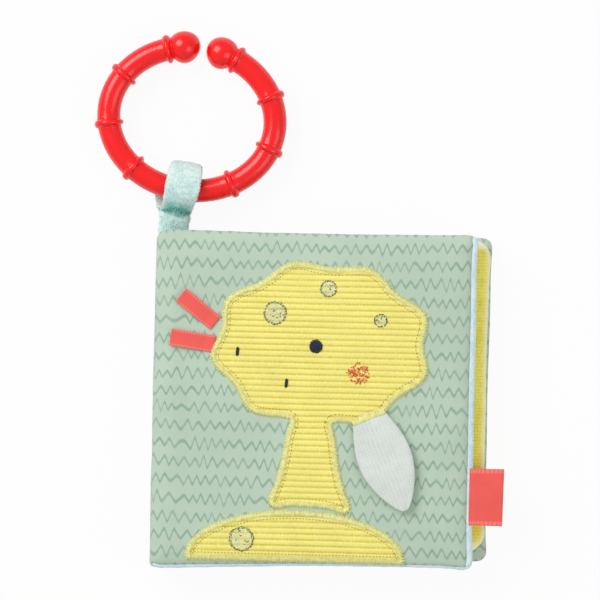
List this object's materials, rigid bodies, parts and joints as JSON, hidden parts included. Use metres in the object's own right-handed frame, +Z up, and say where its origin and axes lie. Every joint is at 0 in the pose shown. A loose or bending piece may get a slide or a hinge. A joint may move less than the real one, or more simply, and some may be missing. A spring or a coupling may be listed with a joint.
{
  "type": "cloth book with clip ring",
  "caption": "Small padded cloth book lying closed: covers and a soft page on a fabric spine, sewn trims, a label, and a velour strap that holds an open ribbed oval clip ring.",
  "frame": {"origin": "centre of the back cover's flat underside, on the surface that the book lies on", "axes": "+Z up through the leaves, +X from the spine to the open edge, +Y to the edge with the strap and ring"},
  "size_m": [0.1499, 0.1926, 0.023],
  "materials": {
    "sage_cotton": "matte printed cotton, padded",
    "blue_velour": "short pile velour",
    "yellow_velour": "short pile velour",
    "cream_cloth": "matte plain weave",
    "white_wadding": "loose polyester fibre",
    "clear_film": "thin crackling film",
    "yellow_corduroy": "fine wale corduroy",
    "pale_yellow_thread": "dense satin stitch",
    "sage_thread": "embroidery thread",
    "coral_thread": "embroidery thread",
    "navy_thread": "embroidery thread",
    "pale_green_cloth": "fine gauze weave",
    "coral_ribbon": "woven ribbon, slight sheen",
    "mint_velour": "plush velour",
    "mint_thread": "bar of stitches",
    "red_plastic": "smooth glossy moulding"
  },
  "bodies": {
    "back_cover": {"back_cover_cloth": "sage_cotton", "back_cover_lining": "cream_cloth", "back_cover_wadding": "white_wadding"},
    "spine": {"page_hinge_tape": "cream_cloth", "spine_cloth": "sage_cotton", "spine_lining": "cream_cloth", "spine_wadding": "white_wadding"},
    "front_cover": {"applique_hill": "yellow_corduroy", "applique_hill_edging": "pale_yellow_thread", "applique_tree": "yellow_corduroy", "applique_tree_edging": "pale_yellow_thread", "crinkle_film": "clear_film", "embroidered_dot": "navy_thread", "embroidered_ring_1": "sage_thread", "embroidered_ring_2": "sage_thread", "embroidered_ring_3": "sage_thread", "embroidered_ring_4": "sage_thread", "embroidered_ring_5": "coral_thread", "embroidered_stitch_1": "navy_thread", "embroidered_stitch_2": "navy_thread", "front_cover_cloth": "sage_cotton", "front_cover_lining": "blue_velour", "front_cover_wadding": "white_wadding"},
    "middle_page": {"page_back_cloth": "yellow_velour", "page_front_cloth": "yellow_velour", "page_wadding": "white_wadding"},
    "loop_stem": {"loop_bartack": "mint_thread", "loop_stem": "mint_velour"},
    "loop_eye": {"loop_eye": "mint_velour"},
    "clip_ring": {"clip_ring": "red_plastic"},
    "leaf_flap": {"leaf_flap": "pale_green_cloth"},
    "ribbon_tag_upper": {"ribbon_tag_upper": "coral_ribbon"},
    "ribbon_tag_lower": {"ribbon_tag_lower": "coral_ribbon"},
    "label_tag": {"label_tag": "coral_ribbon"}
  },
  "joints": [
    {"name": "spine_fold", "type": "hinge", "parent": "back_cover", "child": "spine", "pos_m": [-0.0564, 0, 0.0033], "axis": [0, 1, 0], "range_deg": [-90, 0]},
    {"name": "front_cover_fold", "type": "hinge", "parent": "spine", "child": "front_cover", "pos_m": [-0.0564, 0, 0.0171], "axis": [0, -1, 0], "range_deg": [0, 180]},
    {"name": "page_turn", "type": "hinge", "parent": "spine", "child": "middle_page", "pos_m": [-0.0504, 0, 0.0102], "axis": [0, -1, 0], "range_deg": [0, 90]},
    {"name": "loop_bend", "type": "hinge", "parent": "back_cover", "child": "loop_stem", "pos_m": [-0.05395, 0.063, 0.0033], "axis": [0.9903, -0.1392, 0], "range_deg": [0, 30]},
    {"name": "loop_eye_bend", "type": "hinge", "parent": "loop_stem", "child": "loop_eye", "pos_m": [-0.05344, 0.06659, 0.00555], "axis": [0.9903, -0.1392, 0], "range_deg": [0, 20]},
    {"name": "ring_slide", "type": "hinge", "parent": "loop_eye", "child": "clip_ring", "pos_m": [-0.04732, 0.11016, 0.00621], "axis": [0.0037, 0.0265, 0.9996], "range_deg": [-30, 30]},
    {"name": "leaf_flap_lift", "type": "hinge", "parent": "front_cover", "child": "leaf_flap", "pos_m": [0.01837, -0.00372, 0.0226], "axis": [0.9205, 0.3907, 0], "range_deg": [-120, 0]},
    {"name": "ribbon_tag_upper_lift", "type": "hinge", "parent": "front_cover", "child": "ribbon_tag_upper", "pos_m": [-0.03954, 0.03002, 0.0211], "axis": [-0.6157, -0.788, 0], "range_deg": [-90, 0]},
    {"name": "ribbon_tag_lower_lift", "type": "hinge", "parent": "front_cover", "child": "ribbon_tag_lower", "pos_m": [-0.04047, 0.021, 0.0211], "axis": [-0.1392, -0.9903, 0], "range_deg": [-90, 0]},
    {"name": "label_tag_bend", "type": "hinge", "parent": "front_cover", "child": "label_tag", "pos_m": [0.0559, -0.0315, 0.0171], "axis": [0, -1, 0], "range_deg": [-20, 80]}
  ],
  "couplings": [
    {"joint": "page_turn", "follows": "front_cover_fold", "ratio": 0.5}
  ]
}
